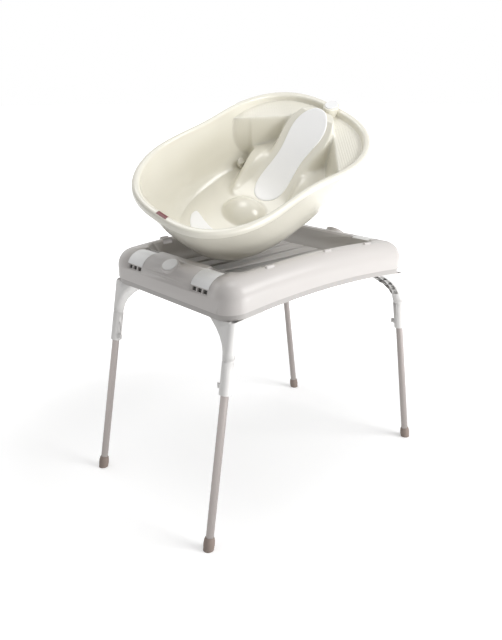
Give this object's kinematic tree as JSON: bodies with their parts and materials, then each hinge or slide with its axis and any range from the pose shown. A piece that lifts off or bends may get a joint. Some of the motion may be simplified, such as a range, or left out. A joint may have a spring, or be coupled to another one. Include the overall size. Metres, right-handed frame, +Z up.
{
  "type": "baby bath on a changing stand",
  "caption": "Moulded baby bath with a reclined seat, lifted and tipped over a four-legged arched stand with leg clamps, end clips and a ribbed well.",
  "frame": {"origin": "on the floor under the middle of the stand", "axes": "+Z up, +X along the stand towards the bath's head end, +Y away from the viewer's long side"},
  "size_m": [1.0626, 0.6652, 1.3298],
  "materials": {
    "deck": "satin warm white",
    "skirt": "satin white",
    "clip": "gloss white",
    "badge": "gloss, plain",
    "tube": "satin",
    "foot": "matt",
    "knob": "satin",
    "tub": "gloss ivory",
    "pad": "soft matt white",
    "strip": "dark red",
    "plug": "matt",
    "steel": "zinc"
  },
  "bodies": {
    "stand": {"deck_shell": "deck", "skirt_frame": "skirt", "knee_front_near": "skirt", "knee_front_far": "skirt", "knee_back_near": "skirt", "knee_back_far": "skirt", "knee_screws": "steel", "skirt_screws": "steel", "badge_front": "badge", "badge_back": "badge"},
    "leg_front_near": {"leg_tube_front_near": "tube", "foot_front_near": "foot"},
    "knob_front_near": {"clamp_knob_front_near": "knob"},
    "leg_front_far": {"leg_tube_front_far": "tube", "foot_front_far": "foot"},
    "knob_front_far": {"clamp_knob_front_far": "knob"},
    "leg_back_near": {"leg_tube_back_near": "tube", "foot_back_near": "foot"},
    "knob_back_near": {"clamp_knob_back_near": "knob"},
    "leg_back_far": {"leg_tube_back_far": "tube", "foot_back_far": "foot"},
    "knob_back_far": {"clamp_knob_back_far": "knob"},
    "clip_front_near": {"clip_front_near": "clip"},
    "clip_front_far": {"clip_front_far": "clip"},
    "clip_back_near": {"clip_back_near": "clip"},
    "clip_back_far": {"clip_back_far": "clip"},
    "tub": {"tub_shell": "tub", "back_pad": "pad", "floor_pad": "pad", "heat_strip": "strip", "badge_rim": "badge"},
    "plug": {"drain_plug": "plug"}
  },
  "joints": [
    {"name": "leg_slide_front_near", "type": "slide", "parent": "stand", "child": "leg_front_near", "axis": [-0.1704, -0.0263, -0.985], "range_m": [0, 0.1]},
    {"name": "knob_turn_front_near", "type": "hinge", "parent": "stand", "child": "knob_front_near", "pos_m": [-0.42543, -0.30132, 0.512], "axis": [0, 1, 0], "range_deg": [0, 180]},
    {"name": "leg_slide_front_far", "type": "slide", "parent": "stand", "child": "leg_front_far", "axis": [-0.1704, 0.0263, -0.985], "range_m": [0, 0.1]},
    {"name": "knob_turn_front_far", "type": "hinge", "parent": "stand", "child": "knob_front_far", "pos_m": [-0.42543, 0.30132, 0.512], "axis": [0, -1, 0], "range_deg": [0, 180]},
    {"name": "leg_slide_back_near", "type": "slide", "parent": "stand", "child": "leg_back_near", "axis": [0.1704, -0.0263, -0.985], "range_m": [0, 0.1]},
    {"name": "knob_turn_back_near", "type": "hinge", "parent": "stand", "child": "knob_back_near", "pos_m": [0.42543, -0.30132, 0.512], "axis": [0, 1, 0], "range_deg": [0, 180]},
    {"name": "leg_slide_back_far", "type": "slide", "parent": "stand", "child": "leg_back_far", "axis": [0.1704, 0.0263, -0.985], "range_m": [0, 0.1]},
    {"name": "knob_turn_back_far", "type": "hinge", "parent": "stand", "child": "knob_back_far", "pos_m": [0.42543, 0.30132, 0.512], "axis": [0, -1, 0], "range_deg": [0, 180]},
    {"name": "clip_slide_front_near", "type": "hinge", "parent": "stand", "child": "clip_front_near", "pos_m": [-0.3565, -0.172, 0.76436], "axis": [0, -1, 0], "range_deg": [0, 15]},
    {"name": "clip_slide_front_far", "type": "hinge", "parent": "stand", "child": "clip_front_far", "pos_m": [-0.3565, 0.172, 0.76436], "axis": [0, -1, 0], "range_deg": [0, 15]},
    {"name": "clip_slide_back_near", "type": "hinge", "parent": "stand", "child": "clip_back_near", "pos_m": [0.3565, -0.172, 0.76436], "axis": [0, 1, 0], "range_deg": [0, 15]},
    {"name": "clip_slide_back_far", "type": "hinge", "parent": "stand", "child": "clip_back_far", "pos_m": [0.3565, 0.172, 0.76436], "axis": [0, 1, 0], "range_deg": [0, 15]},
    {"name": "tub_tip", "type": "hinge", "parent": "stand", "child": "tub", "pos_m": [-0.3172, 0.0237, 0.9704], "axis": [0.7442, -0.6159, 0.2584], "range_deg": [-33.49, 0]},
    {"name": "plug_pull", "type": "slide", "parent": "tub", "child": "plug", "axis": [-0.0304, -0.9681, 0.2488], "range_m": [0, 0.012]}
  ]
}
